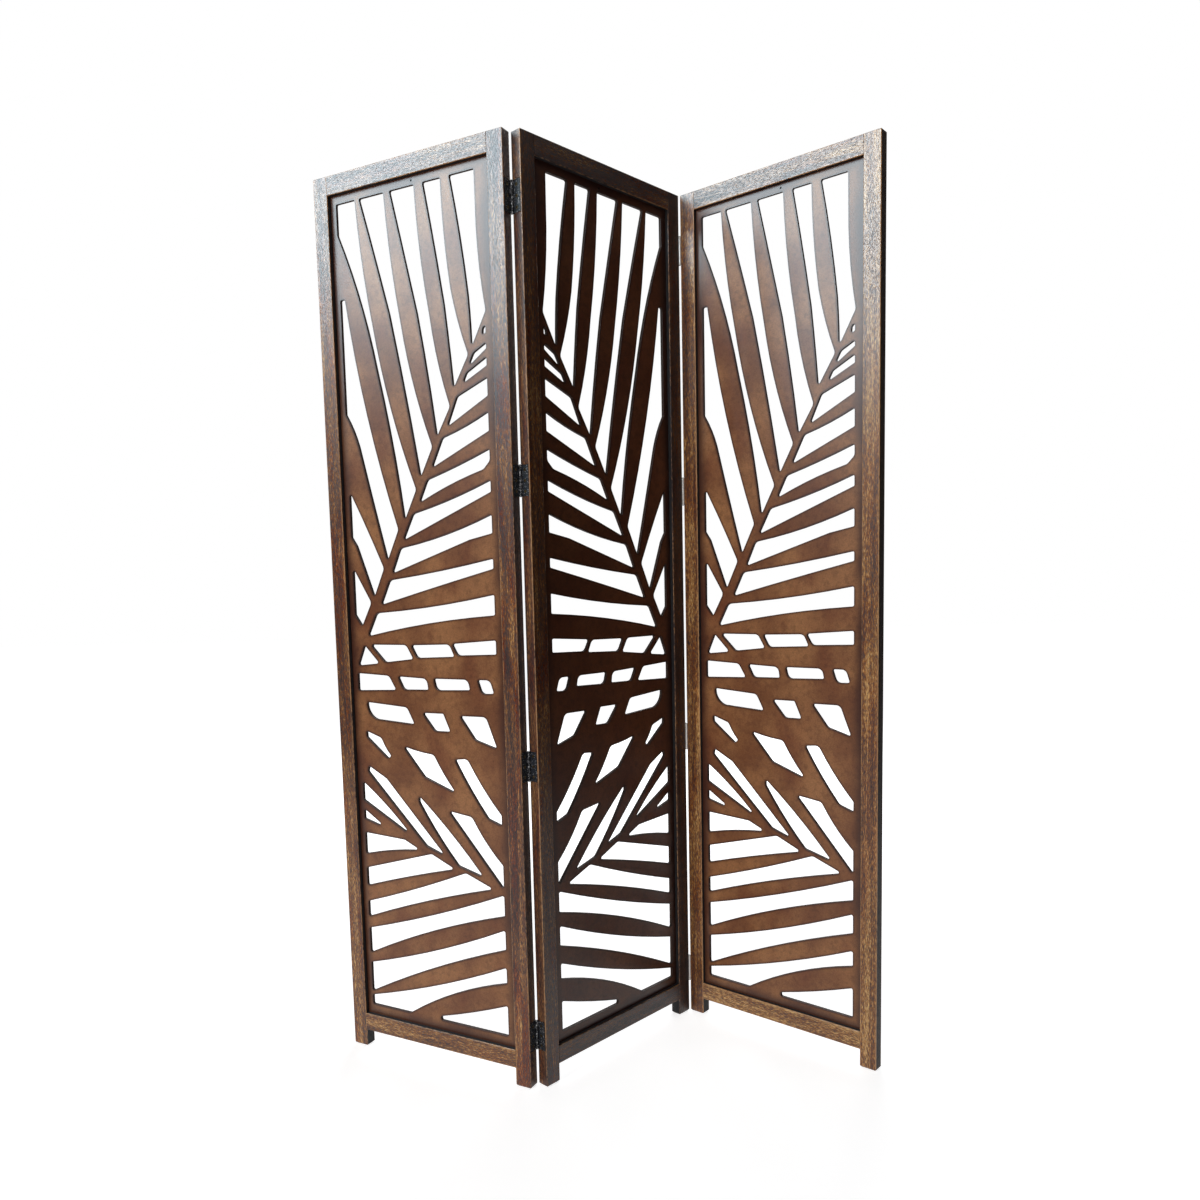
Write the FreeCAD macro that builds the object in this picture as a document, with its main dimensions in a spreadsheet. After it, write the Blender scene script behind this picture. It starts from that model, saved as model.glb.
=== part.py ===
import FreeCAD, Part
import math
import os
import Sketcher

# A folding screen of three tall panels that stands in a zigzag.
# Each panel is a frame of two stiles and two rails, dowelled together, with a thin routed
# board held in a groove. Four butt hinges join each pair of panels.
# The screen's frame: X to the right, Y away from the viewer, Z up, millimetres and degrees.
# Its origin lies on the floor, at the middle of the box round the standing screen.
# A panel's own frame: X along its width from the middle, Y through it, Z up from the floor.

SIZES = {
    "panel_height": 1800.0,
    "panel_width": 450.0,
    "frame_thickness": 24.0,
    "stile_face": 35.0,
    "top_rail_face": 37.0,
    "bottom_rail_face": 37.0,
    "leg_height": 37.0,
    "arris_radius": 1.5,
    "foot_chamfer": 3.5,
    "top_chamfer": 1.0,
    "board_thickness": 6.0,
    "groove_depth": 10.0,
    "groove_clearance": 0.15,
    "expansion_gap": 2.0,
    "cutter_radius": 3.2,
    "nose_radius": 12.0,
    "line_hole_radius": 2.0,
    "dowel_radius": 3.0,
    "dowel_length": 30.0,
    "bore_clearance": 0.05,
    "dowel_end_gap": 1.0,
    "dowel_chamfer": 0.8,
    "dowel_margin": 8.0,
    "dowel_spacing": 12.0,
    "bottom_hinge_height": 103.0,
    "top_hinge_drop": 113.0,
    "hinge_length": 58.0,
    "leaf_reach": 21.0,
    "leaf_thickness": 1.5,
    "recess_depth": 1.6,
    "recess_margin": 1.5,
    "pin_proud": 0.8,
    "pin_radius": 1.25,
    "pin_head_radius": 2.4,
    "pin_head_height": 1.2,
    "running_clearance": 0.05,
    "knuckle_gap": 0.3,
    "knuckle_clearance": 0.3,
    "screw_radius": 1.75,
    "screw_head_radius": 3.2,
    "screw_length": 15.0,
    "screw_point": 3.0,
    "screw_clearance": 0.15,
    "screw_line": 11.5,
    "screw_pitch": 20.0,
    "screw_slot_width": 0.9,
    "screw_slot_length": 3.8,
    "screw_slot_depth": 1.1,
    "countersink_angle": 90.0,
    "middle_yaw": 46.2,
    "left_turn": 74.0,
    "right_turn": 86.8,
    "overrun": 5.0,
}

SCREW_STEPS = (-1, 0, 1)
KNUCKLES = (-2, -1, 0, 1, 2)
MIDDLE_KNUCKLES = KNUCKLES[::2]
OUTER_KNUCKLES = KNUCKLES[1::2]
SIDES = {"left": -1, "right": 1}
FRONT = -1
BACK = 1

# Where the hinges sit, as shares of the way from the bottom hinge to the top hinge.
hinge_shares = {"bottom": 0, "lower": 0.339, "upper": 0.68, "top": 1}
# The openings of the board, as shares of the frame's clear width (from its left stile) and of
# its clear height (from its bottom rail). A crisp corner has the cutter's radius, a soft corner
# the nose radius, a bow is the middle of a curved side, and curves run on through a join.
left_share = 0.036
right_share = 0.948
bottom_share = 0.012
top_share = 0.9903
line_hole_shares = (0.5315, 0.995)
opening_shares = {
    "foot_long": (
        ("crisp", left_share, 0.0243), ("bow", 0.5, 0.0555), ("crisp", right_share, 0.095),
        ("crisp", right_share, 0.076), ("bow", 0.6, 0.0485), ("crisp", 0.302, bottom_share),
        ("crisp", left_share, bottom_share)),
    "foot_wedge": (
        ("crisp", 0.513, 0.017), ("bow", 0.735, 0.0318), ("crisp", right_share, 0.0488),
        ("crisp", right_share, bottom_share), ("crisp", 0.513, bottom_share)),
    "low_blade_first": (
        ("crisp", left_share, 0.0672), ("bow", 0.5, 0.0995), ("crisp", right_share, 0.1402),
        ("crisp", right_share, 0.1165), ("bow", 0.5, 0.0785), ("crisp", left_share, 0.0295)),
    "low_blade_second": (
        ("crisp", left_share, 0.1122), ("bow", 0.5, 0.1443), ("crisp", right_share, 0.182),
        ("crisp", right_share, 0.157), ("bow", 0.52, 0.1265), ("crisp", left_share, 0.08)),
    "low_blade_third": (
        ("crisp", left_share, 0.147), ("bow", 0.37, 0.1722), ("soft", 0.712, 0.202),
        ("crisp", 0.886, 0.1875), ("bow", 0.44, 0.159), ("crisp", left_share, 0.1272)),
    "low_blade_fourth": (
        ("crisp", left_share, 0.1903), ("soft", 0.492, 0.2194), ("crisp", 0.643, 0.2048),
        ("bow", 0.33, 0.1868), ("crisp", left_share, 0.1675)),
    "low_blade_fifth": (
        ("crisp", left_share, 0.2358), ("soft", 0.312, 0.2328), ("crisp", 0.42, 0.2222),
        ("bow", 0.21, 0.2168), ("crisp", left_share, 0.2085)),
    "low_splinter": (
        ("crisp", left_share, 0.2662), ("crisp", 0.192, 0.244), ("crisp", left_share, 0.2535)),
    "low_spike": (
        ("crisp", left_share, 0.301), ("bow", 0.2, 0.273), ("crisp", 0.363, 0.2383),
        ("crisp", left_share, 0.2772)),
    "low_leaf_first": (
        ("crisp", 0.084, 0.3212), ("soft", 0.205, 0.307), ("crisp", 0.585, 0.2188),
        ("soft", 0.457, 0.2288), ("crisp", 0.076, 0.314)),
    "low_leaf_second": (
        ("crisp", 0.421, 0.29), ("bow", 0.62, 0.2494), ("crisp", 0.826, 0.1999),
        ("soft", 0.664, 0.2096), ("bow", 0.5, 0.2552), ("crisp", 0.421, 0.2818)),
    "low_leaf_third": (
        ("crisp", 0.612, 0.2752), ("soft", 0.764, 0.2708), ("bow", 0.845, 0.2433),
        ("crisp", right_share, 0.2175), ("crisp", right_share, 0.1885)),
    "low_leaf_fourth": (
        ("crisp", 0.666, 0.3375), ("soft", 0.747, 0.3395), ("bow", 0.83, 0.31),
        ("crisp", right_share, 0.2768), ("crisp", right_share, 0.2645), ("soft", 0.864, 0.271),
        ("bow", 0.757, 0.304)),
    "low_leaf_fifth": (
        ("crisp", 0.324, 0.3496), ("bow", 0.43, 0.3441), ("soft", 0.532, 0.3414),
        ("bow", 0.5895, 0.3202), ("crisp", 0.672, 0.2966), ("soft", 0.464, 0.3134)),
    "seed_low": (
        ("crisp", 0.076, 0.365), ("soft", 0.182, 0.3572), ("bow", 0.206, 0.3468),
        ("crisp", 0.2445, 0.3358), ("crisp", 0.222, 0.332), ("crisp", 0.08, 0.357)),
    "stone_left": (
        ("crisp", 0.093, 0.4008), ("soft", 0.366, 0.3967), ("crisp", 0.4135, 0.3765),
        ("soft", 0.16, 0.38), ("bow", 0.112, 0.3868)),
    "stone_middle": (
        ("crisp", 0.465, 0.3912), ("crisp", 0.604, 0.3914), ("crisp", 0.646, 0.3703),
        ("soft", 0.545, 0.37)),
    "stone_right": (
        ("crisp", 0.707, 0.3898), ("soft", 0.872, 0.3902), ("crisp", 0.935, 0.354),
        ("soft", 0.8, 0.3628)),
    "bar_low_first": (
        ("crisp", left_share, 0.4362), ("soft", 0.252, 0.4342), ("crisp", 0.2985, 0.4172),
        ("crisp", left_share, 0.4148)),
    "bar_low_second": (
        ("crisp", 0.312, 0.4338), ("soft", 0.505, 0.4322), ("crisp", 0.5135, 0.419),
        ("soft", 0.349, 0.418)),
    "bar_low_third": (
        ("crisp", 0.549, 0.4325), ("soft", 0.768, 0.4327), ("crisp", 0.7795, 0.4205),
        ("soft", 0.565, 0.4188)),
    "bar_low_fourth": (
        ("crisp", 0.826, 0.4328), ("soft", 0.904, 0.4328), ("crisp", 0.9265, 0.4175),
        ("soft", 0.851, 0.4168)),
    "bar_high_first": (
        ("crisp", 0.0925, 0.4712), ("crisp", 0.191, 0.449), ("crisp", 0.042, 0.4457)),
    "bar_high_second": (
        ("crisp", 0.134, 0.4716), ("soft", 0.378, 0.4718), ("crisp", 0.4215, 0.4553),
        ("soft", 0.231, 0.4505)),
    "bar_high_third": (
        ("crisp", 0.4095, 0.4716), ("soft", 0.659, 0.4732), ("crisp", 0.6895, 0.459),
        ("soft", 0.447, 0.4566)),
    "bar_high_fourth": (
        ("crisp", 0.6745, 0.4738), ("crisp", right_share, 0.4785), ("crisp", right_share, 0.4625),
        ("soft", 0.709, 0.4605)),
    "right_blade_first": (
        ("soft", 0.185, 0.5097), ("bow", 0.56, 0.5171), ("crisp", right_share, 0.5302),
        ("crisp", right_share, 0.507), ("bow", 0.6, 0.4997), ("crisp", 0.119, 0.4818)),
    "right_blade_second": (
        ("soft", 0.284, 0.549), ("bow", 0.55, 0.5562), ("crisp", right_share, 0.5706),
        ("crisp", right_share, 0.5592), ("bow", 0.6, 0.5408), ("crisp", 0.2185, 0.5197)),
    "right_blade_third": (
        ("soft", 0.364, 0.5862), ("bow", 0.66, 0.5994), ("crisp", right_share, 0.6198),
        ("crisp", right_share, 0.5987), ("soft", 0.81, 0.5927), ("crisp", 0.303, 0.5568)),
    "right_blade_fourth": (
        ("soft", 0.4575, 0.6255), ("bow", 0.7, 0.6391), ("crisp", right_share, 0.6576),
        ("crisp", right_share, 0.6444), ("crisp", 0.385, 0.595)),
    "right_blade_fifth": (
        ("soft", 0.558, 0.6632), ("bow", 0.75, 0.6761), ("crisp", right_share, 0.6917),
        ("soft", right_share, 0.6785), ("soft", 0.908, 0.6697), ("bow", 0.74, 0.6587),
        ("crisp", 0.499, 0.6371)),
    "right_blade_sixth": (
        ("soft", 0.662, 0.7087), ("bow", 0.8, 0.7183), ("crisp", right_share, 0.7323),
        ("crisp", right_share, 0.711), ("crisp", 0.5875, 0.6757)),
    "right_blade_seventh": (
        ("soft", 0.761, 0.7524), ("crisp", right_share, 0.7692), ("crisp", right_share, 0.749),
        ("crisp", 0.693, 0.7197)),
    "right_blade_eighth": (
        ("soft", 0.824, 0.7768), ("crisp", right_share, 0.7913), ("crisp", right_share, 0.7814),
        ("crisp", 0.796, 0.7649)),
    "right_blade_ninth": (
        ("soft", 0.869, 0.7973), ("crisp", right_share, 0.8066), ("crisp", right_share, 0.7997),
        ("crisp", 0.831, 0.7818)),
    "right_blade_tip": (
        ("crisp", right_share, 0.8262), ("crisp", right_share, 0.8165), ("crisp", 0.9255, 0.814),
        ("crisp", 0.9285, 0.8215)),
    "left_blade_first": (
        ("crisp", left_share, 0.566), ("soft", 0.154, 0.5226), ("crisp", 0.0825, 0.4938),
        ("crisp", left_share, 0.508)),
    "left_blade_second": (
        ("crisp", left_share, 0.658), ("bow", 0.14, 0.6141), ("soft", 0.251, 0.5633),
        ("crisp", 0.176, 0.5286), ("soft", 0.069, 0.5912), ("crisp", left_share, 0.602)),
    "left_blade_third": (
        ("crisp", left_share, 0.8812), ("crisp", 0.067, 0.8812), ("bow", 0.204, 0.725),
        ("soft", 0.359, 0.6083), ("crisp", 0.2775, 0.5716), ("bow", 0.196, 0.6395),
        ("join", 0.128, 0.6985), ("bow", 0.085, 0.7275), ("crisp", left_share, 0.748)),
    "left_blade_fourth": (
        ("crisp", left_share, top_share), ("crisp", 0.163, top_share), ("bow", 0.2, 0.907),
        ("join", 0.2465, 0.845), ("bow", 0.347, 0.745), ("soft", 0.4865, 0.6532),
        ("crisp", 0.402, 0.6174), ("bow", 0.334, 0.715), ("join", 0.259, 0.795),
        ("bow", 0.154, 0.885), ("crisp", left_share, 0.955)),
    "left_blade_fifth": (
        ("crisp", 0.189, top_share), ("crisp", 0.352, top_share), ("bow", 0.384, 0.91),
        ("join", 0.4297, 0.843), ("bow", 0.5, 0.768), ("soft", 0.6, 0.7), ("crisp", 0.516, 0.6655),
        ("bow", 0.436, 0.765), ("join", 0.3555, 0.855), ("bow", 0.271, 0.925)),
    "left_blade_sixth": (
        ("crisp", 0.389, top_share), ("crisp", 0.5455, top_share), ("bow", 0.572, 0.909),
        ("join", 0.6135, 0.845), ("bow", 0.662, 0.786), ("soft", 0.719, 0.7425),
        ("crisp", 0.629, 0.7095), ("bow", 0.585, 0.78), ("join", 0.533, 0.85), ("bow", 0.461, 0.9205)),
    "left_blade_seventh": (
        ("crisp", 0.598, top_share), ("crisp", 0.7085, top_share), ("bow", 0.7205, 0.926),
        ("join", 0.748, 0.87), ("bow", 0.79, 0.83), ("soft", 0.84, 0.7962), ("crisp", 0.743, 0.7607),
        ("bow", 0.723, 0.81), ("join", 0.7015, 0.855), ("bow", 0.653, 0.9215)),
    "left_blade_eighth": (
        ("crisp", 0.76, top_share), ("crisp", 0.909, top_share), ("join", 0.911, 0.93),
        ("bow", 0.9245, 0.883), ("soft", 0.9515, 0.84), ("crisp", 0.859, 0.802),
        ("bow", 0.8555, 0.833), ("join", 0.848, 0.86), ("bow", 0.817, 0.915)),
}
# A rounding takes at most this share of each side beside it.
rounding_share = 0.6
# A bowed side flatter than this share of its length is drawn straight.
straight_share = 0.0005

vector = FreeCAD.Vector
up = vector(0, 0, 1)

# Sizes that follow from the driving ones, as expressions on the sheet.
knuckle_radius = "(sizes.pin_radius + sizes.running_clearance + sizes.leaf_thickness)"
edge_to_axis = f"({knuckle_radius} - sizes.recess_depth)"
half_width = "(sizes.panel_width / 2)"
half_thickness = "(sizes.frame_thickness / 2)"
rail_length = "(sizes.panel_width - 2 * sizes.stile_face)"
sight_bottom = "(sizes.leg_height + sizes.bottom_rail_face)"
sight_top = "(sizes.panel_height - sizes.top_rail_face)"
groove_width = "(sizes.board_thickness + 2 * sizes.groove_clearance)"
groove_bottom = f"({sight_bottom} - sizes.groove_depth)"
groove_top = f"({sight_top} + sizes.groove_depth)"
knuckle_step = f"((sizes.hinge_length + sizes.knuckle_gap) / {len(KNUCKLES)})"
hinge_span = "(sizes.panel_height - sizes.top_hinge_drop - sizes.bottom_hinge_height)"
hinge_heights = {level: f"(sizes.bottom_hinge_height + {share} * {hinge_span})"
                 for level, share in hinge_shares.items()}
dowel_hole_radius = "(sizes.dowel_radius + sizes.bore_clearance)"
dowel_hole_depth = "(sizes.dowel_length / 2 + sizes.dowel_end_gap)"


def make_sheet(document):
    """Write the driving sizes into a spreadsheet, one named cell each."""
    sheet = document.addObject("Spreadsheet::Sheet", "sizes")
    for row, (name, number) in enumerate(SIZES.items(), start=1):
        sheet.set(f"A{row}", name)
        sheet.set(f"B{row}", str(number))
        sheet.setAlias(f"B{row}", name)
    document.recompute()
    return sheet


def value(owner, text):
    """The number that an expression on the sheet gives, in millimetres or degrees."""
    result = owner.evalExpression(text)
    return float(getattr(result, "Value", result))


def bind(item, **expressions):
    """Tie properties of an object to expressions on the sheet."""
    for name, text in expressions.items():
        item.setExpression(name, text)
    return item


def origin_plane(body, role):
    """One of the body's own origin planes."""
    return next(feature for feature in body.Origin.OriginFeatures if feature.Role == role)


def new_sketch(body, role, name, offset="0"):
    """An empty sketch on an origin plane of its body, moved along the plane's normal."""
    sketch = body.newObject("Sketcher::SketchObject", name)
    sketch.AttachmentSupport = (origin_plane(body, role), [""])
    sketch.MapMode = "FlatFace"
    sketch.setExpression("AttachmentOffset.Base.z", offset)
    return sketch


def hold(sketch, kind, *reference, size):
    """Add one driving dimension that follows an expression."""
    index = sketch.addConstraint(Sketcher.Constraint(kind, *reference, value(sketch, size)))
    sketch.setExpression(f"Constraints[{index}]", size)


def add_rectangle(sketch, left, bottom, width, height):
    """A rectangle with its lower left corner and both its sizes held."""
    low = vector(value(sketch, left), value(sketch, bottom))
    high = low + vector(value(sketch, width), value(sketch, height))
    corners = (low, vector(high.x, low.y), high, vector(low.x, high.y))
    lines = [Part.LineSegment(corners[turn - 1], corners[turn]) for turn in range(4)]
    closing, floor, wall, ceiling = sketch.addGeometry(lines, False)
    for first, second in ((closing, floor), (floor, wall), (wall, ceiling), (ceiling, closing)):
        sketch.addConstraint(Sketcher.Constraint("Coincident", first, 2, second, 1))
    for level in (floor, ceiling):
        sketch.addConstraint(Sketcher.Constraint("Horizontal", level))
    for upright in (closing, wall):
        sketch.addConstraint(Sketcher.Constraint("Vertical", upright))
    hold(sketch, "DistanceX", -1, 1, floor, 1, size=left)
    hold(sketch, "DistanceY", -1, 1, floor, 1, size=bottom)
    hold(sketch, "DistanceX", floor, 1, floor, 2, size=width)
    hold(sketch, "DistanceY", wall, 1, wall, 2, size=height)


def add_circle(sketch, across, along, radius):
    """A circle with its centre and radius held."""
    centre = vector(value(sketch, across), value(sketch, along))
    circle = sketch.addGeometry(Part.Circle(centre, up, value(sketch, radius)), False)
    hold(sketch, "DistanceX", -1, 1, circle, 3, size=across)
    hold(sketch, "DistanceY", -1, 1, circle, 3, size=along)
    hold(sketch, "Radius", circle, size=radius)


def new_body(document, name):
    """An empty body whose label names its file."""
    body = document.addObject("PartDesign::Body", name)
    body.Label = name
    return body


def pad(body, sketch, length, side="Symmetric"):
    """Extrude a sketch into material."""
    feature = body.newObject("PartDesign::Pad", f"{sketch.Name}_pad")
    feature.Profile = sketch
    feature.SideType = side
    bind(feature, Length=length)
    body.Document.recompute()
    return feature


def pocket(body, sketch, depth, side="One side", backwards=False):
    """Cut a sketch out of the material, one way or as far both ways."""
    before = body.Shape.Volume
    feature = body.newObject("PartDesign::Pocket", f"{sketch.Name}_cut")
    feature.Profile = sketch
    feature.SideType = side
    feature.Reversed = backwards
    bind(feature, Length=depth)
    body.Document.recompute()
    if not body.Shape.Volume < before:
        raise RuntimeError(f"{feature.Name} cuts nothing")
    return feature


def cut_through(body, sketch, thickness):
    """Cut a sketch right through material of a given thickness about the sketch's plane."""
    return pocket(body, sketch, f"({thickness} + 2 * sizes.overrun)", side="Symmetric")


def edges_where(shape, test):
    """Names of the edges of a shape that pass a test."""
    return [f"Edge{number}" for number, edge in enumerate(shape.Edges, start=1) if test(edge)]


def ease(body, kind, size, test):
    """Round or chamfer the edges of the last feature that pass a test."""
    last = body.Tip
    name = f"{body.Name}_{kind.lower()}_{len(body.Group)}"
    feature = body.newObject(f"PartDesign::{kind}", name)
    feature.Base = (last, edges_where(last.Shape, test))
    bind(feature, **{"Radius" if kind == "Fillet" else "Size": size})
    body.Document.recompute()
    return feature


def runs_along(edge, direction):
    """Whether an edge is straight and parallel to a direction."""
    way = edge.Vertexes[-1].Point - edge.Vertexes[0].Point
    return way.Length > 0 and way.cross(direction).Length < Part.Precision.confusion() * way.Length


def lies_at(edge, axis, place):
    """Whether a whole edge lies at one place along an axis."""
    box = edge.BoundBox
    low, high = getattr(box, f"{axis}Min"), getattr(box, f"{axis}Max")
    nearness = Part.Precision.approximation()
    return abs(low - place) < nearness and abs(high - place) < nearness


def dowel_heights():
    """Heights of the dowels, two in the bottom rail and two in the top rail."""
    second = "(sizes.dowel_margin + sizes.dowel_spacing)"
    low = [f"(sizes.leg_height + {margin})" for margin in ("sizes.dowel_margin", second)]
    high = [f"(sizes.panel_height - {margin})" for margin in ("sizes.dowel_margin", second)]
    return low + high


def make_stile(document, name, side, pin_face):
    """A stile with its groove, its dowel holes and, if it is hinged, its hinge recesses."""
    body = new_body(document, name)
    profile = new_sketch(body, "XY_Plane", f"{name}_section")
    inner = f"({side} * ({half_width} - sizes.stile_face))"
    outer = f"({side} * {half_width})"
    left = outer if side < 0 else inner
    add_rectangle(profile, left, f"-{half_thickness}", "sizes.stile_face", "sizes.frame_thickness")
    pad(body, profile, "sizes.panel_height", side="One side")
    height = value(body, "sizes.panel_height")
    ease(body, "Chamfer", "sizes.foot_chamfer", lambda edge: lies_at(edge, "Z", 0))
    ease(body, "Chamfer", "sizes.top_chamfer", lambda edge: lies_at(edge, "Z", height))
    ease(body, "Fillet", "sizes.arris_radius", lambda edge: runs_along(edge, up))

    groove = new_sketch(body, "XY_Plane", f"{name}_groove", groove_bottom)
    mouth = f"({inner} - sizes.overrun)" if side > 0 else f"({inner} - sizes.groove_depth)"
    add_rectangle(groove, mouth, f"-{groove_width} / 2", "(sizes.groove_depth + sizes.overrun)",
                  groove_width)
    pocket(body, groove, f"{groove_top} - {groove_bottom}", backwards=True)

    holes = new_sketch(body, "YZ_Plane", f"{name}_dowel_holes", inner)
    for height in dowel_heights():
        add_circle(holes, "0", height, dowel_hole_radius)
    pocket(body, holes, dowel_hole_depth, backwards=side > 0)

    if pin_face:
        cut_hinge_seats(body, name, side, pin_face, outer)
    return body


def cut_hinge_seats(body, name, side, pin_face, outer):
    """Cut the leaf recesses and the screw holes into a stile's outer edge."""
    seats = new_sketch(body, "YZ_Plane", f"{name}_hinge_seats", outer)
    covered = "(sizes.leaf_reach - sizes.pin_proud + sizes.recess_margin)"
    start = f"(-{half_thickness} - sizes.overrun)"
    if pin_face == BACK:
        start = f"({half_thickness} - {covered})"
    half_seat = "(sizes.hinge_length / 2 + sizes.recess_margin)"
    for height in hinge_heights.values():
        add_rectangle(seats, start, f"({height} - {half_seat})", f"({covered} + sizes.overrun)",
                      f"(2 * {half_seat})")
    pocket(body, seats, "sizes.recess_depth", backwards=side < 0)

    holes = new_sketch(body, "YZ_Plane", f"{name}_screw_holes", outer)
    line = f"({pin_face} * ({half_thickness} + sizes.pin_proud - sizes.screw_line))"
    for height in hinge_heights.values():
        for step in SCREW_STEPS:
            add_circle(holes, line, f"({height} + {step} * sizes.screw_pitch)",
                       "(sizes.screw_radius + sizes.bore_clearance)")
    pocket(body, holes, "sizes.screw_length", backwards=side < 0)


def make_rail(document, name, low, face, groove_side):
    """A rail with the board's groove in the edge that faces the board, and its dowel holes."""
    body = new_body(document, name)
    profile = new_sketch(body, "YZ_Plane", f"{name}_section")
    add_rectangle(profile, f"-{half_thickness}", low, "sizes.frame_thickness", face)
    pad(body, profile, rail_length)
    along = vector(1, 0, 0)
    ease(body, "Fillet", "sizes.arris_radius", lambda edge: runs_along(edge, along))

    groove = new_sketch(body, "YZ_Plane", f"{name}_groove")
    floor = f"({low} - sizes.overrun)" if groove_side < 0 else f"({low} + {face} - sizes.groove_depth)"
    add_rectangle(groove, f"-{groove_width} / 2", floor, groove_width,
                  "(sizes.groove_depth + sizes.overrun)")
    cut_through(body, groove, rail_length)

    holes = new_sketch(body, "YZ_Plane", f"{name}_dowel_holes", f"{rail_length} / 2")
    for height in dowel_heights():
        if value(body, low) < value(body, height) < value(body, f"{low} + {face}"):
            add_circle(holes, "0", height, dowel_hole_radius)
    cut = pocket(body, holes, dowel_hole_depth)
    other_end = body.newObject("PartDesign::Mirrored", f"{name}_other_end")
    other_end.Originals = [cut]
    other_end.MirrorPlane = (origin_plane(body, "YZ_Plane"), [""])
    body.Tip = other_end
    return body


def cross(first, second):
    """How far the second direction turns left of the first, for two plane vectors."""
    return first.x * second.y - first.y * second.x


class Side:
    """One side of an opening, straight or bowed, from one corner to the next."""

    def __init__(self, start, end, bow=None):
        self.start = start
        self.end = end
        self.chord = end - start
        self.centre = None
        lean = 0 if bow is None else cross(bow - start, self.chord)
        if abs(lean) > straight_share * self.chord.Length ** 2:
            self.turn = math.copysign(1, lean)
            self.centre = Part.Circle(start, bow, end).Center
            self.radius = (start - self.centre).Length

    def nearest(self, point):
        """The point of the side's whole line or circle that is nearest to a point."""
        if self.centre is None:
            reach = (point - self.start).dot(self.chord) / self.chord.Length ** 2
            return self.start + self.chord * reach
        arm = point - self.centre
        return self.centre + arm * (self.radius / arm.Length)

    def heading(self, point):
        """The direction of travel at a point of the side."""
        if self.centre is None:
            return self.chord / self.chord.Length
        arm = (point - self.centre) / self.radius
        return vector(-arm.y, arm.x) * self.turn

    def shifted(self, distance):
        """A copy that runs a distance to the left of the side."""
        copy = Side(self.start, self.end)
        if self.centre is None:
            along = self.heading(self.start)
            copy.start = self.start + vector(-along.y, along.x) * distance
            return copy
        copy.centre = self.centre
        copy.radius = self.radius - self.turn * distance
        return copy


def crossing(one, other, near):
    """The point nearest to a given one where the lines or circles of two sides cross."""
    if one.centre is None and other.centre is None:
        reach = cross(other.start - one.start, other.chord) / cross(one.chord, other.chord)
        return one.start + one.chord * reach
    if one.centre is None:
        one, other = other, one
    if other.centre is None:
        foot = other.nearest(one.centre)
        along = other.chord
    else:
        span = other.centre - one.centre
        reach = (one.radius ** 2 - other.radius ** 2 + span.Length ** 2) / (2 * span.Length)
        foot = one.centre + span * (reach / span.Length)
        along = vector(-span.y, span.x)
    half = math.sqrt(max(0, one.radius ** 2 - (foot - one.centre).Length ** 2))
    step = along * (half / along.Length)
    return min((foot + step, foot - step), key=lambda point: (point - near).Length)


def rounding(before, after, radius):
    """Both ends and the middle of the arc that rounds the corner between two sides."""
    corner = before.end
    arriving = before.heading(corner)
    leaving = after.heading(corner)
    swing = math.copysign(1, cross(arriving, leaving))
    half_turn = arriving.getAngle(leaving) / 2
    room = rounding_share * min(before.chord.Length, after.chord.Length)
    held = min(radius, room / math.tan(half_turn))
    centre = crossing(before.shifted(swing * held), after.shifted(swing * held), corner)
    first = before.nearest(centre)
    last = after.nearest(centre)
    middle = (first + last) / 2 - centre
    return first, centre + middle * (held / middle.Length), last


def outline(steps, place, radii):
    """The lines and arcs of one opening, from its corners, bows and joins."""
    points = [(kind, place(across, along)) for kind, across, along in steps]
    corners = [number for number, (kind, _) in enumerate(points) if kind != "bow"]
    sides = []
    for turn, number in enumerate(corners):
        following = points[(number + 1) % len(points)]
        bow = following[1] if following[0] == "bow" else None
        end = points[corners[(turn + 1) % len(corners)]][1]
        sides.append(Side(points[number][1], end, bow))
    rounds = []
    for turn, number in enumerate(corners):
        kind, point = points[number]
        if kind == "join":
            rounds.append((point, point, point))
        else:
            rounds.append(rounding(sides[turn - 1], sides[turn], radii[kind]))
    pieces = []
    for turn, side in enumerate(sides):
        first, middle, start = rounds[turn]
        if first != start:
            pieces.append(Part.Arc(first, middle, start))
        end = rounds[(turn + 1) % len(rounds)][0]
        if side.centre is None:
            pieces.append(Part.LineSegment(start, end))
        else:
            crown = side.nearest((start + end) / 2)
            pieces.append(Part.Arc(start, crown, end))
    return pieces


def make_board(document, name):
    """A board with all its openings and the small hole near its top edge."""
    body = new_body(document, name)
    blank = new_sketch(body, "XZ_Plane", f"{name}_blank")
    width = f"({rail_length} + 2 * (sizes.groove_depth - sizes.expansion_gap))"
    height = f"({groove_top} - sizes.expansion_gap - {groove_bottom})"
    add_rectangle(blank, f"-{width} / 2", groove_bottom, width, height)
    pad(body, blank, "sizes.board_thickness")

    clear_width = value(body, rail_length)
    clear_height = value(body, f"{sight_top} - {sight_bottom}")
    floor = value(body, sight_bottom)
    radii = {"crisp": value(body, "sizes.cutter_radius"), "soft": value(body, "sizes.nose_radius")}

    def place(across, along):
        return vector(clear_width * across - clear_width / 2, floor + clear_height * along)

    fretwork = new_sketch(body, "XZ_Plane", f"{name}_fretwork")
    for steps in opening_shares.values():
        fretwork.addGeometry(outline(steps, place, radii), False)
    cut_through(body, fretwork, "sizes.board_thickness")

    hole = new_sketch(body, "XZ_Plane", f"{name}_line_hole")
    across, along = line_hole_shares
    add_circle(hole, f"({rail_length} * {across} - {rail_length} / 2)",
               f"({sight_bottom} + ({sight_top} - {sight_bottom}) * {along})", "sizes.line_hole_radius")
    cut_through(body, hole, "sizes.board_thickness")
    return body


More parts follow.
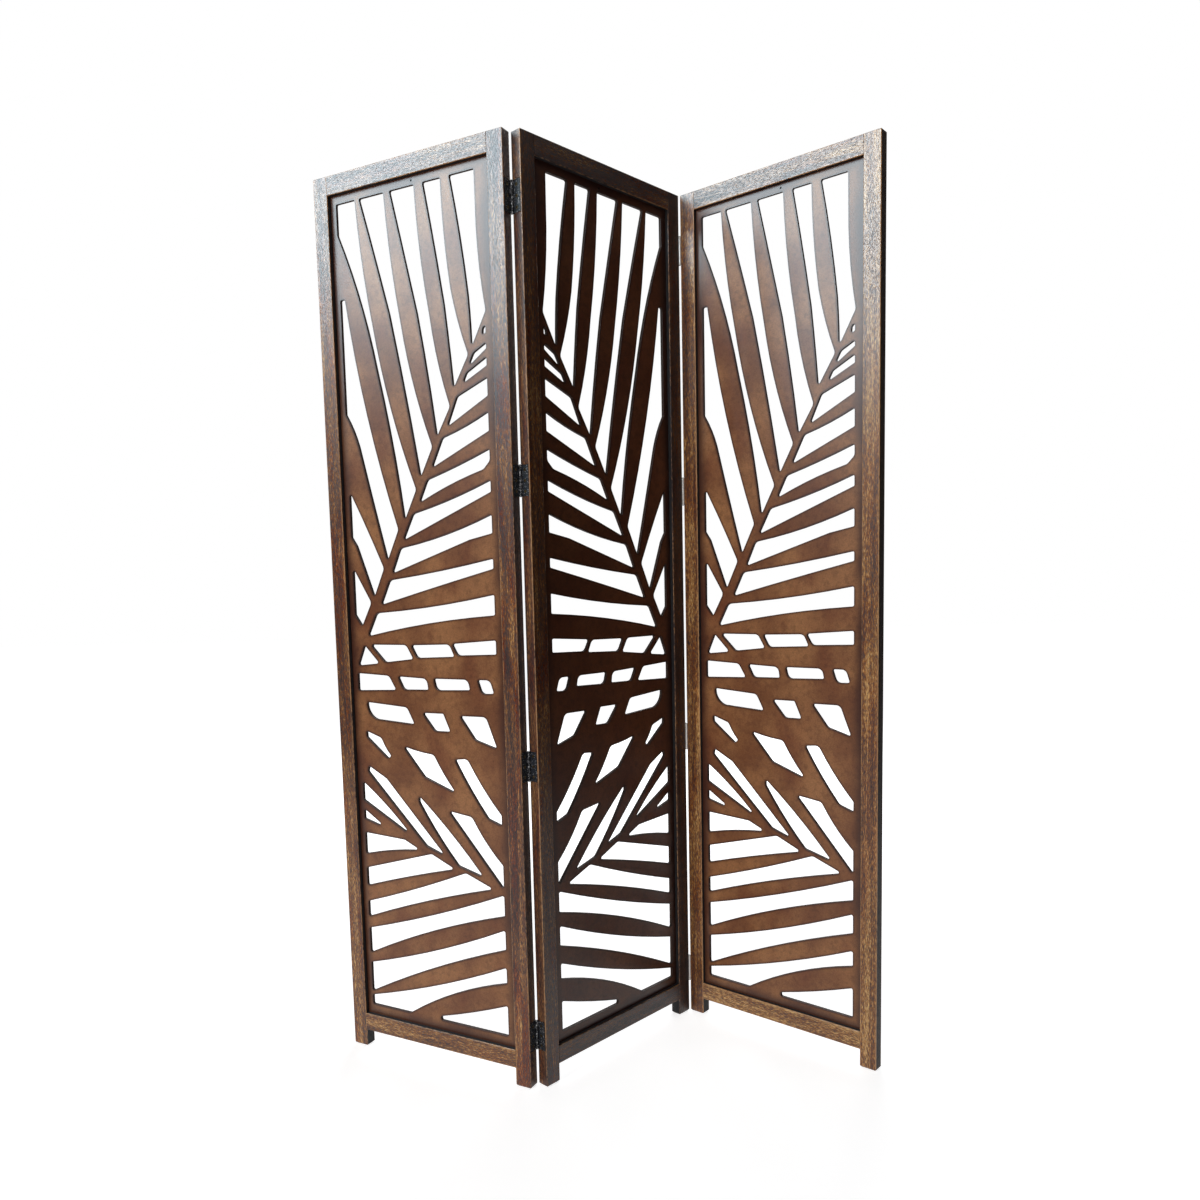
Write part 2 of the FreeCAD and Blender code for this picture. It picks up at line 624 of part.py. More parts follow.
def make_leaf(document, name, knuckles):
    """A hinge leaf about its pin's axis: its plate, its knuckles and its countersunk holes.

    The wood lies on the leaf's +X side, and the plate reaches from the axis towards -Y.
    """
    body = new_body(document, name)
    plate = new_sketch(body, "XY_Plane", f"{name}_plate")
    face = f"({knuckle_radius} - sizes.leaf_thickness)"
    add_rectangle(plate, face, "-sizes.leaf_reach", "sizes.leaf_thickness", "sizes.leaf_reach")
    pad(body, plate, "sizes.hinge_length")
    barrel = new_sketch(body, "XY_Plane", f"{name}_barrel")
    add_circle(barrel, "0", "0", knuckle_radius)
    pad(body, barrel, "sizes.hinge_length")
    bore = new_sketch(body, "XY_Plane", f"{name}_bore")
    add_circle(bore, "0", "0", "(sizes.pin_radius + sizes.running_clearance)")
    cut_through(body, bore, "sizes.hinge_length")

    notches = new_sketch(body, "YZ_Plane", f"{name}_notches")
    reach = f"({knuckle_radius} + sizes.knuckle_clearance)"
    for place in KNUCKLES:
        if place in knuckles:
            continue
        low = f"(({place} - 1 / 2) * {knuckle_step} - sizes.knuckle_gap / 2)"
        height = f"({knuckle_step} + sizes.knuckle_gap)"
        add_rectangle(notches, f"-{reach}", low, f"(2 * {reach})", height)
    cut_through(body, notches, f"(2 * {knuckle_radius})")

    holes = new_sketch(body, "YZ_Plane", f"{name}_screw_holes", face)
    for step in SCREW_STEPS:
        add_circle(holes, "-sizes.screw_line", f"({step} * sizes.screw_pitch)",
                   "(sizes.screw_radius + sizes.screw_clearance)")
    before = body.Shape.Volume
    hole = body.newObject("PartDesign::Hole", f"{name}_screw_hole")
    hole.Profile = holes
    hole.Reversed = True
    hole.DepthType = "ThroughAll"
    hole.HoleCutType = "Countersink"
    hole.HoleCutCustomValues = True
    bind(hole, Diameter="2 * (sizes.screw_radius + sizes.screw_clearance)",
         HoleCutCountersinkAngle="sizes.countersink_angle",
         HoleCutDiameter="2 * (sizes.screw_head_radius + sizes.screw_clearance)")
    document.recompute()
    if not body.Shape.Volume < before:
        raise RuntimeError(f"{hole.Name} cuts nothing")
    return body


def make_pin(document, name):
    """A hinge pin with a low button head at each end."""
    body = new_body(document, name)
    shank = new_sketch(body, "XY_Plane", f"{name}_shank")
    add_circle(shank, "0", "0", "sizes.pin_radius")
    pad(body, shank, "sizes.hinge_length + 2 * sizes.pin_head_height")
    for end in ("top", "bottom"):
        head = new_sketch(body, "XY_Plane", f"{name}_{end}_head",
                          ("" if end == "top" else "-") + "sizes.hinge_length / 2")
        add_circle(head, "0", "0", "sizes.pin_head_radius")
        button = pad(body, head, "sizes.pin_head_height", side="One side")
        button.Reversed = end == "bottom"
        document.recompute()
    tip = value(body, "sizes.hinge_length / 2 + sizes.pin_head_height")
    ease(body, "Fillet", "sizes.pin_head_height / 2",
         lambda edge: lies_at(edge, "Z", tip) or lies_at(edge, "Z", -tip))
    return body


def turned(profile):
    """A solid turned about the Z axis from the radius and height of each of its corners."""
    corners = [vector(radius, 0, height) for radius, height in profile]
    wire = Part.makePolygon(corners + corners[:1])
    return Part.Face(wire).revolve(vector(0, 0, 0), up, 360)


def screw_shape(sheet):
    """A countersunk wood screw with its head at the origin, driven towards -Z."""
    head = sheet.screw_head_radius
    shank = sheet.screw_radius
    neck = (shank - head) / math.tan(math.radians(sheet.countersink_angle / 2))
    length = sheet.screw_length
    solid = turned(((0, 0), (head, 0), (shank, neck), (shank, sheet.screw_point - length), (0, -length)))
    slot = Part.makeBox(sheet.screw_slot_length, sheet.screw_slot_width, 2 * sheet.screw_slot_depth)
    slot.translate(-slot.BoundBox.Center)
    crossed = slot.copy()
    crossed.rotate(vector(0, 0, 0), up, 90)
    return solid.cut([slot, crossed])


def dowel_shape(sheet):
    """A dowel along Z, centred, with chamfered ends."""
    radius = sheet.dowel_radius
    half = sheet.dowel_length / 2
    ease_size = sheet.dowel_chamfer
    return turned(((0, -half), (radius - ease_size, -half), (radius, ease_size - half),
                   (radius, half - ease_size), (radius - ease_size, half), (0, half)))


def make_group(document, name, shape, places):
    """Equal fasteners of one panel as a group of separate solids."""
    group = document.addObject("Part::Feature", name)
    group.Label = name
    solids = []
    for place in places:
        solid = shape.copy()
        solid.Placement = place
        solids.append(solid)
    group.Shape = Part.makeCompound(solids)
    return group


def turned_about(axis, angle, position=vector(0, 0, 0)):
    """A placement at a position, turned about an axis."""
    return FreeCAD.Placement(position, FreeCAD.Rotation(axis, angle))


def hinge_place(sheet, side, pin_face, height):
    """The place of a leaf about its pin, in its panel's own frame."""
    half_turns = {
        (1, BACK): vector(0, 1, 0),
        (1, FRONT): up,
        (-1, FRONT): vector(1, 0, 0),
    }
    axis = half_turns.get((side, pin_face), up)
    angle = 180 if (side, pin_face) in half_turns else 0
    across = side * value(sheet, f"{half_width} + {edge_to_axis}")
    through = pin_face * value(sheet, f"{half_thickness} + sizes.pin_proud")
    return turned_about(axis, angle, vector(across, through, height))


def panel_places(sheet):
    """Where the three panels stand, joined at their pins and centred on the floor."""
    yaws = {"left": sheet.middle_yaw - sheet.left_turn, "middle": sheet.middle_yaw,
            "right": sheet.middle_yaw - sheet.right_turn}
    places = {name: turned_about(up, yaw) for name, yaw in yaws.items()}
    for name, side, pin_face in (("left", -1, BACK), ("right", 1, FRONT)):
        fixed_pin = hinge_place(sheet, side, pin_face, 0).Base
        moving_pin = hinge_place(sheet, -side, pin_face, 0).Base
        places[name].Base = places["middle"].multVec(fixed_pin) - places[name].multVec(moving_pin)
    box = FreeCAD.BoundBox()
    for place in places.values():
        for across in (-sheet.panel_width / 2, sheet.panel_width / 2):
            for through in (-sheet.frame_thickness / 2, sheet.frame_thickness / 2):
                box.add(place.multVec(vector(across, through, 0)))
    for place in places.values():
        place.Base -= box.Center
    return places


def build_panel(document, panel, pin_faces):
    """The stiles, rails and board of one panel, in the panel's own frame."""
    name = f"{panel}_panel"
    parts = []
    for word, side in SIDES.items():
        parts.append(make_stile(document, f"{name}_{word}_stile", side, pin_faces.get(word)))
    parts.append(make_rail(document, f"{name}_top_rail", sight_top, "sizes.top_rail_face", -1))
    parts.append(make_rail(document, f"{name}_bottom_rail", "sizes.leg_height",
                           "sizes.bottom_rail_face", 1))
    parts.append(make_board(document, f"{name}_board"))
    return parts


def build_dowels(document, sheet, panel):
    """The dowels of one panel, two in each corner of its frame."""
    places = []
    for side in SIDES.values():
        across = side * value(sheet, f"{rail_length} / 2")
        for height in dowel_heights():
            position = vector(across, 0, value(sheet, height))
            places.append(turned_about(vector(0, 1, 0), 90, position))
    return make_group(document, f"{panel}_panel_dowels", dowel_shape(sheet), places)


def build_screws(document, sheet, name, side, pin_face):
    """The screws that fix the four leaves on one edge of a panel."""
    head_height = value(sheet, f"{knuckle_radius} - sizes.leaf_thickness")
    places = []
    for height in hinge_heights.values():
        leaf = hinge_place(sheet, side, pin_face, value(sheet, height))
        for step in SCREW_STEPS:
            seat = vector(head_height, -sheet.screw_line, step * sheet.screw_pitch)
            places.append(leaf * turned_about(vector(0, 1, 0), -90, seat))
    return make_group(document, name, screw_shape(sheet), places)


def build_screen(document):
    """All the sub-parts of the screen, each placed where it stands."""
    sheet = make_sheet(document)
    places = panel_places(sheet)
    pin_faces = {
        "left": {"right": BACK},
        "middle": {"left": BACK, "right": FRONT},
        "right": {"left": FRONT},
    }
    parts = []
    for panel, place in places.items():
        for part in build_panel(document, panel, pin_faces[panel]):
            part.Placement = place
            parts.append(part)
        dowels = build_dowels(document, sheet, panel)
        dowels.Placement = place
        parts.append(dowels)
    # The middle panel's board is turned round, so its fronds lean the other way.
    turned_board = next(part for part in parts if part.Label == "middle_panel_board")
    turned_board.Placement = places["middle"] * turned_about(up, 180)

    for joint, side, pin_face in (("left", -1, BACK), ("right", 1, FRONT)):
        for level, height in hinge_heights.items():
            name = f"{joint}_hinge_{level}"
            raised = value(sheet, height)
            middle_place = places["middle"] * hinge_place(sheet, side, pin_face, raised)
            outer_place = places[joint] * hinge_place(sheet, -side, pin_face, raised)
            middle_leaf = make_leaf(document, f"{name}_middle_leaf", MIDDLE_KNUCKLES)
            middle_leaf.Placement = middle_place
            outer_leaf = make_leaf(document, f"{name}_outer_leaf", OUTER_KNUCKLES)
            outer_leaf.Placement = outer_place
            pin = make_pin(document, f"{name}_pin")
            pin.Placement = middle_place
            parts += [middle_leaf, outer_leaf, pin]
        for panel, edge in (("middle", side), (joint, -side)):
            screws = build_screws(document, sheet, f"{joint}_hinge_screws_{panel}", edge, pin_face)
            screws.Placement = places[panel]
            parts.append(screws)
    document.recompute()
    return parts


def check(document, parts):
    """Stop if any feature failed or any sub-part has no sound shape."""
    for item in document.Objects:
        if "Invalid" in item.State or "Error" in item.State:
            raise RuntimeError(f"{item.Name} failed: {item.State}")
    for part in parts:
        if part.Shape.isNull() or not part.Shape.isValid() or not part.Shape.Solids:
            raise RuntimeError(f"{part.Label} has no sound shape")


def main():
    """Build the screen, check it and write one file for each sub-part."""
    document = FreeCAD.newDocument("folding_screen")
    parts = build_screen(document)
    check(document, parts)
    os.makedirs("parts", exist_ok=True)
    for part in parts:
        part.Shape.exportStep(f"parts/{part.Label}.step")
        print(part.Label, len(part.Shape.Solids), "solids", round(part.Shape.Volume), "mm3")


main()
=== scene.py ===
"""The looks of a folding screen: three stained wooden frames with routed fretwork boards."""

import logging
import math
from dataclasses import dataclass
from enum import Enum
from typing import NamedTuple

import bpy
from mathutils import Matrix, Vector


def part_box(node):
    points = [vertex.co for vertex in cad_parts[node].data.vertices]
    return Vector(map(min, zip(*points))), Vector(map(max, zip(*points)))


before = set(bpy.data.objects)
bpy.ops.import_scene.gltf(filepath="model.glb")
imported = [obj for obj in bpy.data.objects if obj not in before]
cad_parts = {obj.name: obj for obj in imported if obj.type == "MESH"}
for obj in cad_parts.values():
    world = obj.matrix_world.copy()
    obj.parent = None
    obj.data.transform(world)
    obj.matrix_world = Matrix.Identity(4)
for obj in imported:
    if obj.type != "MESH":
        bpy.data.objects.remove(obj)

Colour = tuple[float, float, float, float]
Socket = bpy.types.NodeSocket

WHITE: Colour = (1.0, 1.0, 1.0, 1.0)
log = logging.getLogger("folding_screen")

# The curve by which a display shows light: a straight toe, then a power.
TOE_END = 0.04045
TOE_SLOPE = 12.92
CURVE_OFFSET = 0.055
CURVE_POWER = 2.4

# The inner detail of the fine spots on metal and raw beech.
SPOT_DETAIL = 3.0
SPOT_CONTRAST = 0.6


class Grain(Enum):
    """Which way the grain of a piece of wood runs, as the turn that stands it upright."""

    UPRIGHT = 0.0
    LEVEL = math.pi / 2


class Unseen(Enum):
    """By which kind of surface a lamp isn't seen. No lamp is seen by the camera."""

    BY_CAMERA = "visible_camera"
    BY_MATT = "visible_diffuse"
    BY_GLOSS = "visible_glossy"


class Step(NamedTuple):
    """A soft step of a value: the two levels where it starts and ends, and the results there."""

    low: float
    high: float
    start: float = 0.0
    end: float = 1.0


class Relief(NamedTuple):
    """How far a finish's pattern stands up, in metres, and how strongly it is felt."""

    depth: float
    strength: float


class Marks(NamedTuple):
    """A layer of marks in a finish: their size in metres, their weight and their inner detail."""

    width: float
    length: float
    weight: float = 1.0
    detail: float = 2.0
    contrast: float = 0.5


def tone(red: int, green: int, blue: int) -> Colour:
    """Turn a colour as a display shows it into the linear colour that a shader takes.

    Args:
        red: Red from 0 to 255.
        green: Green from 0 to 255.
        blue: Blue from 0 to 255.

    Returns:
        The linear colour with full opacity.
    """
    linear = []
    for share in (red / 255, green / 255, blue / 255):
        curve = ((share + CURVE_OFFSET) / (1 + CURVE_OFFSET)) ** CURVE_POWER
        linear.append(share / TOE_SLOPE if share <= TOE_END else curve)
    return (*linear, 1.0)


class Wiring:
    """The nodes of one material or world, with short ways to add and join them."""

    def __init__(self, tree: bpy.types.NodeTree) -> None:
        """Start with the given tree, emptied."""
        self.tree = tree
        self.tree.nodes.clear()

    def add(self, kind: str, plugs: dict[str | int, object] | None = None,
            **settings: object) -> bpy.types.Node:
        """Add a node.

        Args:
            kind: The node's type without its ShaderNode prefix.
            plugs: What goes into each input: another node's output, or a plain value.
            **settings: The node's own properties.

        Returns:
            The new node.
        """
        node = self.tree.nodes.new("ShaderNode" + kind)
        for name, setting in settings.items():
            setattr(node, name, setting)
        for socket, source in (plugs or {}).items():
            if isinstance(source, bpy.types.NodeSocket):
                self.tree.links.new(source, node.inputs[socket])
            else:
                node.inputs[socket].default_value = source
        return node

    def here(self) -> Socket:
        """Where the painted point lies, in metres from the middle of the screen's foot."""
        return self.add("TexCoord").outputs["Object"]

    def maths(self, operation: str, *terms: object) -> Socket:
        """The result of one sum on numbers or outputs, given in order."""
        return self.add("Math", dict(enumerate(terms)), operation=operation).outputs[0]

    def vectors(self, operation: str, plugs: dict[str | int, object]) -> bpy.types.NodeOutputs:
        """The results of one sum on vectors."""
        return self.add("VectorMath", plugs, operation=operation).outputs

    def split(self, where: Socket) -> bpy.types.NodeOutputs:
        """The X, Y and Z of a vector."""
        return self.add("SeparateXYZ", {0: where}).outputs

    def fade(self, source: Socket, step: Step) -> Socket:
        """A soft step of a value."""
        plugs = {"Value": source, "From Min": step.low, "From Max": step.high,
                 "To Min": step.start, "To Max": step.end}
        return self.add("MapRange", plugs, interpolation_type="SMOOTHSTEP").outputs["Result"]

    def blend(self, amount: Socket, under: object, over: object, mode: str = "MIX") -> Socket:
        """One colour laid over another, where an amount from 0 to 1 tells how much of it shows."""
        plugs = {0: amount, 6: under, 7: over}
        return self.add("Mix", plugs, data_type="RGBA", blend_type=mode).outputs[2]

    def ramp(self, source: Socket, stops: tuple[tuple[float, Colour], ...]) -> Socket:
        """A colour for each level of a value.

        Args:
            source: The value that varies.
            stops: Levels and their colours, from low to high.

        Returns:
            The colour's output.
        """
        node = self.add("ValToRGB", {0: source})
        steps = node.color_ramp.elements
        while len(steps) < len(stops):
            steps.new(1.0)
        for step, (level, colour) in zip(steps, stops):
            step.position = level
            step.color = colour
        return node.outputs["Color"]

    def clouds(self, where: Socket, size: float, detail: float, contrast: float) -> Socket:
        """A cloudy pattern, about 0.5 on average, with clouds of the given size in metres."""
        plugs = {"Vector": where, "Scale": 1 / size, "Detail": detail, "Roughness": contrast}
        return self.add("TexNoise", plugs).outputs["Fac"]

    def spots(self, size: float) -> Socket:
        """Fine spots all over a small piece, of the given size in metres."""
        return self.clouds(self.here(), size, SPOT_DETAIL, SPOT_CONTRAST)

    def stretch(self, where: Socket, marks: Marks, shift: float) -> Socket:
        """Coordinates in which one mark is one unit each way, moved by a number of marks.

        Args:
            where: Coordinates with the marks' length along Z.
            marks: The layer of marks.
            shift: How far the pattern is moved, in marks.

        Returns:
            The stretched coordinates' output.
        """
        scale = (1 / marks.width, 1 / marks.width, 1 / marks.length)
        plugs = {"Vector": where, "Location": (shift, -shift, shift), "Scale": scale}
        return self.add("Mapping", plugs).outputs["Vector"]

    def streaks(self, where: Socket, marks: Marks, shift: float) -> Socket:
        """The pattern of one layer of marks, moved by a number of marks."""
        return self.clouds(self.stretch(where, marks, shift), 1.0, marks.detail, marks.contrast)

    def surface(self, colour: Socket, roughness: Socket, pattern: Socket, relief: Relief,
                more: dict[str, object] | None = None) -> None:
        """Lay the finish on the material's surface.

        Args:
            colour: Its colour.
            roughness: Its roughness.
            pattern: The pattern that stands up from it.
            relief: How far the pattern stands up.
            more: What goes into the shader's other inputs.
        """
        bump = self.add("Bump", {"Height": pattern, "Distance": relief.depth, "Strength": relief.strength})
        plugs = {"Base Color": colour, "Roughness": roughness, "Normal": bump.outputs["Normal"]}
        shader = self.add("BsdfPrincipled", {**plugs, **(more or {})})
        self.add("OutputMaterial", {"Surface": shader.outputs[0]})


def new_material(name: str) -> tuple[bpy.types.Material, Wiring]:
    """An empty node material.

    Args:
        name: The material's name.

    Returns:
        The material and its wiring.
    """
    material = bpy.data.materials.new(name)
    material.use_nodes = True
    return material, Wiring(material.node_tree)


def wear(node: bpy.types.Object, material: bpy.types.Material) -> None:
    """Give a whole piece one material."""
    node.data.materials.clear()
    node.data.materials.append(material)


@dataclass(frozen=True)
class Member:
    """One piece of a panel's frame: its name, its grain and how far its stain is rubbed back.

    The last two are how much lighter a stile is painted towards its foot, which is painted light, and how
    dark its outer edge is, from dirt and painted shade.
    """

    name: str
    grain: Grain
    rubbed: float
    foot_painted_light: float = 0.0
    edge_dirt_and_shade: float = 0.3


@dataclass(frozen=True)
class PanelPlace:
    """Where one panel stands, and its sight size, in metres and radians."""

    name: str
    yaw: float
    clear_width: float = 0.38
    panel_width: float = 0.45
    thickness: float = 0.024

    @property
    def centre(self) -> Vector:
        """The middle of the panel on the floor."""
        low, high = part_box(f"{self.name}_board")
        return Vector(((low.x + high.x) / 2, (low.y + high.y) / 2, 0.0))

    @property
    def sight_bottom(self) -> float:
        """The height of the bottom rail's upper edge."""
        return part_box(f"{self.name}_bottom_rail")[1].z

    @property
    def sight_top(self) -> float:
        """The height of the top rail's lower edge."""
        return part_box(f"{self.name}_top_rail")[0].z

    @property
    def top(self) -> float:
        """The height of the panel."""
        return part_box(f"{self.name}_left_stile")[1].z

    def face_edges(self, member: Member) -> tuple[float, float]:
        """The two edges of a piece's face, across its grain.

        Args:
            member: The piece.

        Returns:
            The edge beside the board and the outer one, from the panel's middle for a stile
            and from the floor for a rail.
        """
        if member.grain is Grain.UPRIGHT:
            return self.clear_width / 2, self.panel_width / 2
        low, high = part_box(f"{self.name}_{member.name}")
        return (high.z, low.z) if member.name == "bottom_rail" else (low.z, high.z)

    def local(self, wiring: Wiring) -> Socket:
        """Coordinates along the panel's own width, thickness and height, from its foot's middle."""
        plugs = {"Vector": wiring.here(), "Location": self.centre, "Rotation": (0.0, 0.0, self.yaw)}
        return wiring.add("Mapping", plugs, vector_type="TEXTURE").outputs["Vector"]


@dataclass(frozen=True)
class StainedWood:
    """Coarse open-grained wood under a dark walnut stain, rubbed back to gold on its ridges.

    The place of a piece in its panel gives its grain, its rubbed arrises, the raw wood in
    its hinge seats and the end grain on top of the stiles. Widths and depths are in metres.
    """

    tones: tuple[tuple[float, Colour], ...] = (
        (0.18, tone(32, 20, 16)),
        (0.38, tone(66, 39, 26)),
        (0.54, tone(110, 68, 40)),
        (0.70, tone(158, 112, 66)),
        (0.88, tone(204, 164, 106)),
    )
    layers: tuple[Marks, ...] = (
        Marks(0.0014, 0.009, 1.25, contrast=0.6),
        Marks(0.004, 0.09, 0.5, contrast=0.6),
        Marks(0.014, 0.4, 0.5, 1.0, 0.6),
        Marks(0.08, 0.25, 0.4, 1.0, 0.6),
    )
    bends: Marks = Marks(0.03, 0.16, detail=1.0)
    bend_reach: float = 0.006
    # How far up the painted light at a stile's foot reaches.
    foot_light_height: Step = Step(0.05, 0.6)
    red: Colour = tone(124, 54, 32)
    red_streaks: Marks = Marks(0.02, 0.13, detail=1.0)
    red_share: Step = Step(0.4, 0.7)
    redness: float = 0.85
    redness_lost: float = 5.0
    pore: Colour = tone(28, 18, 15)
    pores: Marks = Marks(0.0007, 0.006, detail=1.0)
    pore_share: Step = Step(0.36, 0.5, 0.8, 0.0)
    worn: Colour = tone(176, 134, 92)
    arris: Step = Step(0.0006, 0.0024, 0.8, 0.0)
    rubs_off: Step = Step(0.3, 0.6)
    # Stain gathered beside the board and along the outer edge, darkened further as painted shade on the unlit
    # walls.
    gathered_stain_and_shade: Colour = tone(13, 10, 12)
    stain_and_shade_line: Step = Step(0.0002, 0.0008, 1.0, 0.0)
    below_face: Step = Step(0.0012, 0.003)
    raw: Colour = tone(176, 140, 100)
    end: Colour = tone(58, 38, 28)
    end_depth: float = 0.005
    faces_up: Step = Step(0.6, 0.9)
    roughness: Step = Step(0.1, 0.6, 0.44, 0.26)
    dullness: float = 0.4
    relief: Relief = Relief(0.0003, 0.3)
    gloss: float = 0.5

    def make(self, name: str, place: PanelPlace, member: Member, seed: float) -> bpy.types.Material:
        """Make the finish for one stile or rail.

        Args:
            name: The material's name.
            place: The panel that the piece belongs to.
            member: Which piece of the frame it is.
            seed: A number of its own, so that no two pieces are alike.

        Returns:
            The material.
        """
        material, wiring = new_material(name)
        local = place.local(wiring)
        turn = (0.0, member.grain.value, 0.0)
        upright = wiring.add("Mapping", {"Vector": local, "Rotation": turn}).outputs["Vector"]
        wavy = self.wavy(wiring, upright, seed)
        height = self.height(wiring, wavy, member, seed)
        colour = wiring.ramp(height, self.tones)
        ruddy = wiring.streaks(wavy, self.red_streaks, -seed)
        redness = max(0.0, self.redness - self.redness_lost * max(member.rubbed, 0.0))
        reddened = wiring.fade(ruddy, self.red_share._replace(end=redness))
        colour = wiring.blend(reddened, colour, self.red, "SOFT_LIGHT")
        hollow = wiring.fade(wiring.streaks(wavy, self.pores, seed), self.pore_share)
        colour = wiring.blend(hollow, colour, self.pore)
        colour, dull = self.worn_places(wiring, colour, place, member, local, height)

        ridge = wiring.maths("SUBTRACT", height, hollow)
        rough = wiring.maths("MULTIPLY_ADD", dull, self.dullness, wiring.fade(ridge, self.roughness))
        wiring.surface(colour, rough, ridge, self.relief, {"Specular IOR Level": self.gloss})
        return material

    def wavy(self, wiring: Wiring, upright: Socket, seed: float) -> Socket:
        """Coordinates along a grain that wanders a little from side to side.

        Args:
            wiring: The material's nodes.
            upright: Coordinates with the grain along Z.
            seed: The piece's own number.

        Returns:
            The wandering coordinates' output.
        """
        slow = wiring.stretch(upright, self.bends, seed)
        plugs = {"Vector": slow, "Scale": 1.0, "Detail": self.bends.detail}
        drift = wiring.add("TexNoise", plugs).outputs["Color"]
        centred = wiring.vectors("SUBTRACT", {0: drift, 1: (0.5, 0.5, 0.5)})[0]
        pushed = wiring.vectors("SCALE", {0: centred, "Scale": self.bend_reach})[0]
        return wiring.vectors("ADD", {0: upright, 1: pushed})[0]

    def height(self, wiring: Wiring, wavy: Socket, member: Member, seed: float) -> Socket:
        """The height of the grain, from dark hollows at 0 to rubbed ridges at 1.

        Args:
            wiring: The material's nodes.
            wavy: Coordinates along the grain.
            member: Which piece of the frame it is.
            seed: The piece's own number.

        Returns:
            The height's output.
        """
        total = 0.5 + member.rubbed - sum(layer.weight for layer in self.layers) / 2
        for layer in self.layers:
            pattern = wiring.streaks(wavy, layer, seed + layer.width)
            total = wiring.maths("MULTIPLY_ADD", pattern, layer.weight, total)
        # Painted light: the stile grows lighter towards its foot.
        if member.foot_painted_light:
            foot_light_step = self.foot_light_height._replace(start=member.foot_painted_light, end=0.0)
            total = wiring.maths("ADD", total, wiring.fade(wiring.split(wavy)["Z"], foot_light_step))
        return total

    def worn_places(self, wiring: Wiring, colour: Socket, place: PanelPlace, member: Member,
                    local: Socket, height: Socket) -> tuple[Socket, Socket]:
        """Rubbed arrises, stain with painted shade beside the board and along the outer edge, and cut ends.

        Args:
            wiring: The material's nodes.
            colour: The stained colour.
            place: The panel that the piece belongs to.
            member: Which piece of the frame it is.
            local: The panel's own coordinates.
            height: The height of the grain.

        Returns:
            The finished colour's output, and the output that tells where the wood is dull.
        """
        axes = wiring.split(local)
        across = wiring.maths("ABSOLUTE", axes["X"]) if member.grain is Grain.UPRIGHT else axes["Z"]
        inner, outer = [wiring.maths("ABSOLUTE", wiring.maths("SUBTRACT", across, edge))
                        for edge in place.face_edges(member)]
        depth = wiring.maths("SUBTRACT", place.thickness / 2, wiring.maths("ABSOLUTE", axes["Y"]))
        corner = wiring.maths("MAXIMUM", wiring.maths("MINIMUM", inner, outer), depth)
        rubbed = wiring.maths("MULTIPLY", wiring.fade(corner, self.arris), wiring.fade(height, self.rubs_off))
        colour = wiring.blend(rubbed, colour, self.worn)
        # Painted shade: below the face, the inner walls beside the recessed board are darkened, over the
        # stain gathered there.
        deep = wiring.fade(depth, self.below_face)
        gathered_stain_and_shade = wiring.maths("MULTIPLY", wiring.fade(inner, self.stain_and_shade_line), deep)
        colour = wiring.blend(gathered_stain_and_shade, colour, self.gathered_stain_and_shade)
        # Along the outer edge the same darkening stands for dirt and painted shade.
        outer_line = self.stain_and_shade_line._replace(start=member.edge_dirt_and_shade)
        outer_stain_and_shade = wiring.maths("MULTIPLY", wiring.fade(outer, outer_line), deep)
        colour = wiring.blend(outer_stain_and_shade, colour, self.gathered_stain_and_shade)
        dull = wiring.maths("MAXIMUM", gathered_stain_and_shade, outer_stain_and_shade)
        if member.grain is Grain.LEVEL:
            return colour, dull
        colour, crosswise = self.cut_across(wiring, colour, place, axes["Z"])
        return colour, wiring.maths("MAXIMUM", dull, crosswise)

    def cut_across(self, wiring: Wiring, colour: Socket, place: PanelPlace,
                   up: Socket) -> tuple[Socket, Socket]:
        """End grain on top of a stile and under its foot, and raw wood at the ends of hinge seats.

        Args:
            wiring: The material's nodes.
            colour: The colour along the grain.
            place: The panel that the stile belongs to.
            up: The height above the floor.

        Returns:
            The finished colour's output, and the output that tells where the wood is cut across.
        """
        facing = wiring.split(wiring.add("TexCoord").outputs["Normal"])["Z"]
        crosswise = wiring.fade(wiring.maths("ABSOLUTE", facing), self.faces_up)
        at_top = wiring.maths("GREATER_THAN", up, place.top - self.end_depth)
        at_foot = wiring.maths("LESS_THAN", up, self.end_depth)
        outermost = wiring.maths("MAXIMUM", at_top, at_foot)
        shoulder = wiring.maths("MULTIPLY", crosswise, wiring.maths("SUBTRACT", 1.0, outermost))
        colour = wiring.blend(wiring.maths("MULTIPLY", crosswise, outermost), colour, self.end)
        return wiring.blend(shoulder, colour, self.raw), crosswise


